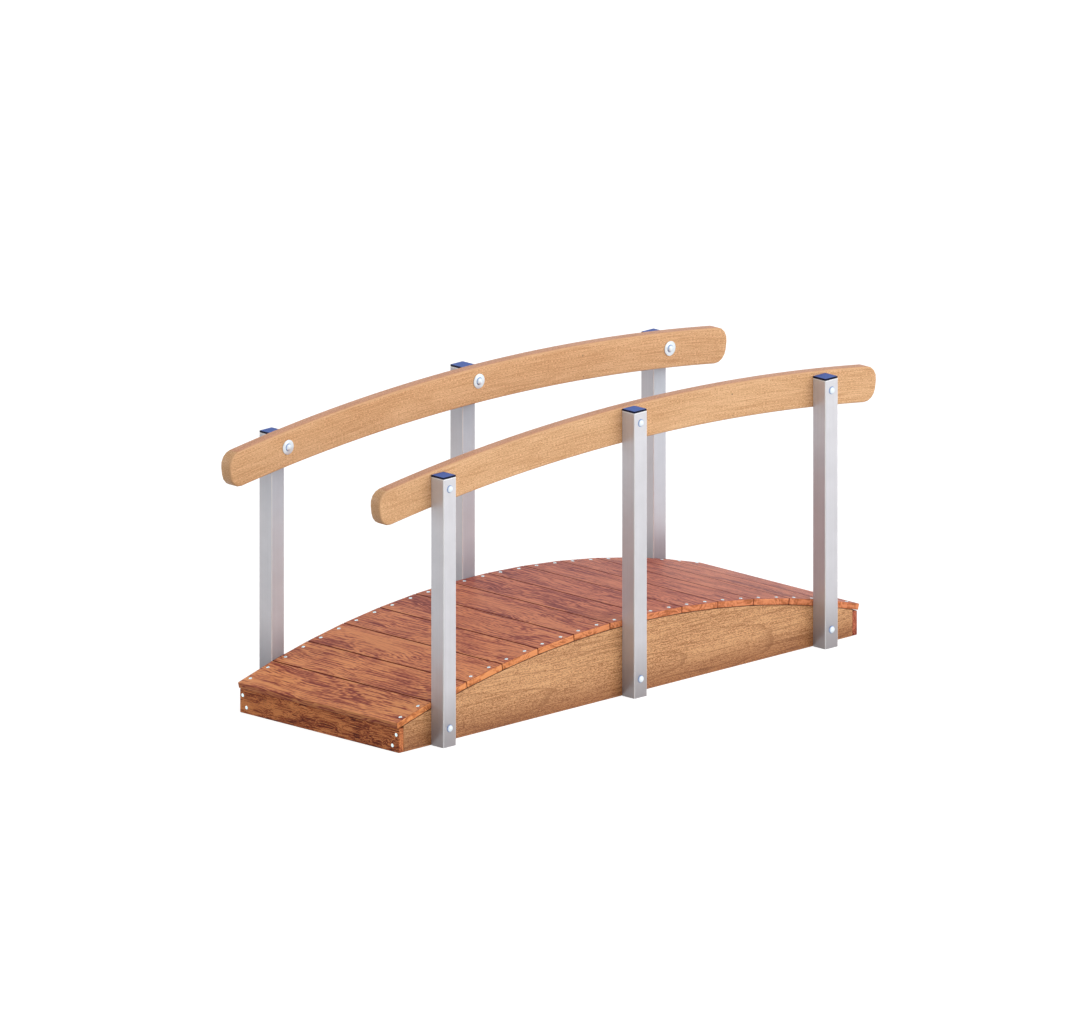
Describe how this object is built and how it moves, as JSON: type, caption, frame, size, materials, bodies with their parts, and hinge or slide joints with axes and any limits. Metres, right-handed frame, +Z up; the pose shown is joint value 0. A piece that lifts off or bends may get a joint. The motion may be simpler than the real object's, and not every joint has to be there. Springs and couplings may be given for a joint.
{
  "type": "moon bridge",
  "caption": "Low arched moon bridge for a playground or garden: plank deck on arched side beams, capped square tube posts and curved handrails.",
  "frame": {"origin": "on the ground, under the middle of the deck", "axes": "+X along the walkway towards the right end, +Y across it towards the back, +Z up"},
  "size_m": [1.9538, 0.737, 0.8278],
  "materials": {
    "beam_timber": "satin",
    "rail_timber": "satin",
    "deck_timber": "gloss stain",
    "post_steel": "satin",
    "cap_plastic": "satin",
    "zinc_fastener": "bright"
  },
  "bodies": {
    "root": {"front_side_beam": "beam_timber", "back_side_beam": "beam_timber", "left_end_board": "deck_timber", "right_end_board": "deck_timber", "deck_plank_01": "deck_timber", "deck_plank_02": "deck_timber", "deck_plank_03": "deck_timber", "deck_plank_04": "deck_timber", "deck_plank_05": "deck_timber", "deck_plank_06": "deck_timber", "deck_plank_07": "deck_timber", "deck_plank_08": "deck_timber", "deck_plank_09": "deck_timber", "deck_plank_10": "deck_timber", "deck_plank_11": "deck_timber", "deck_plank_12": "deck_timber", "deck_plank_13": "deck_timber", "front_left_post": "post_steel", "front_middle_post": "post_steel", "front_right_post": "post_steel", "back_left_post": "post_steel", "back_middle_post": "post_steel", "back_right_post": "post_steel", "front_left_post_cap": "cap_plastic", "front_middle_post_cap": "cap_plastic", "front_right_post_cap": "cap_plastic", "back_left_post_cap": "cap_plastic", "back_middle_post_cap": "cap_plastic", "back_right_post_cap": "cap_plastic", "front_handrail": "rail_timber", "back_handrail": "rail_timber", "rail_bolts": "zinc_fastener", "rail_washers": "zinc_fastener", "rail_nuts": "zinc_fastener", "beam_bolts": "zinc_fastener", "beam_washers": "zinc_fastener", "beam_nuts": "zinc_fastener"}
  },
  "joints": []
}
